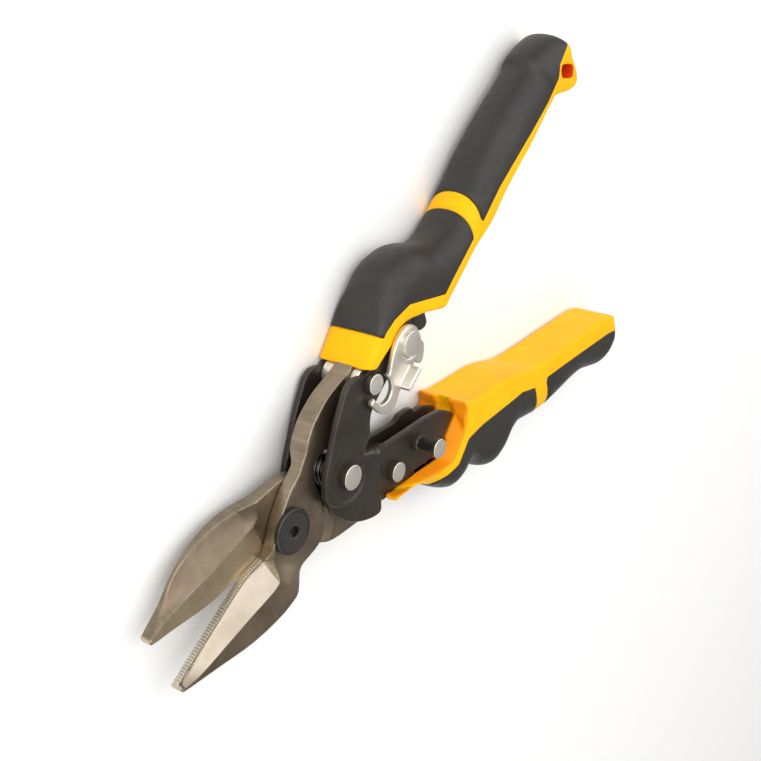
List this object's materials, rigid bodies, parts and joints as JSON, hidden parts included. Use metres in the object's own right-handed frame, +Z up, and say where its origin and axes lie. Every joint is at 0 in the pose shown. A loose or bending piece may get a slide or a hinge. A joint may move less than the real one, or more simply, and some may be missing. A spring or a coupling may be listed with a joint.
{
  "type": "aviation snips",
  "caption": "Compound-action hand snips with forged jaws, a pivot linkage, a hook latch and two sleeved handles, lying open on one side.",
  "frame": {"origin": "centre of the tool's footprint, on the plane it rests on when laid on its side", "axes": "+X from the jaws to the handle ends, +Y towards the handle with the hang hole, +Z up through the side that carries the latch"},
  "size_m": [0.2636, 0.155, 0.0289],
  "materials": {
    "forged_steel": "satin forged, ground edge faces",
    "dark_steel": "black oxide",
    "plated_steel": "dull nickel plate",
    "black_bolt": "black oxide",
    "spring_steel": "bright drawn wire",
    "yellow_hard": "moulded, slight gloss",
    "black_soft": "matte soft grip"
  },
  "bodies": {
    "upper_handle": {"upper_frame": "dark_steel", "upper_sleeve": "yellow_hard", "upper_grip_front": "black_soft", "upper_grip_rear": "black_soft", "stop_pad": "black_soft", "upper_tang_rivet": "plated_steel", "tang_spacers": "plated_steel", "handle_rivet": "plated_steel", "handle_bush": "plated_steel", "return_spring": "spring_steel", "latch_rivet": "plated_steel", "latch_washer": "plated_steel"},
    "lower_handle": {"lower_frame": "dark_steel", "lower_sleeve": "yellow_hard", "lower_grip_front": "black_soft", "lower_grip_rear": "black_soft", "lower_tang_rivet": "plated_steel", "latch_stud": "plated_steel"},
    "lower_jaw": {"blade_lower": "forged_steel", "pivot_bolt": "black_bolt", "pivot_washer": "plated_steel", "pivot_nut": "dark_steel"},
    "upper_jaw": {"blade_upper": "forged_steel"},
    "latch": {"latch": "plated_steel"}
  },
  "joints": [
    {"name": "handle_pivot", "type": "hinge", "parent": "upper_handle", "child": "lower_handle", "pos_m": [-0.0445, 0.0099, 0.0115], "axis": [0, 0, 1], "range_deg": [0, 36], "stiffness_Nm_per_rad": 0.8, "springref_deg": -34.38},
    {"name": "upper_tang_pivot", "type": "hinge", "parent": "upper_handle", "child": "lower_jaw", "pos_m": [-0.0213, 0.03166, 0.0115], "axis": [0, 0, 1], "range_deg": [0, 8.94]},
    {"name": "jaw_pivot", "type": "hinge", "parent": "lower_jaw", "child": "upper_jaw", "pos_m": [-0.0718, 0.0099, 0.0115], "axis": [0, 0, 1], "range_deg": [0, 18.15]},
    {"name": "latch_pivot", "type": "hinge", "parent": "upper_handle", "child": "latch", "pos_m": [-0.0019, 0.034, 0.0237], "axis": [0, 0, 1], "range_deg": [-10, 77]}
  ],
  "couplings": [
    {"joint": "upper_tang_pivot", "follows": "handle_pivot", "ratio": 0.24802},
    {"joint": "jaw_pivot", "follows": "handle_pivot", "ratio": 0.50396}
  ]
}
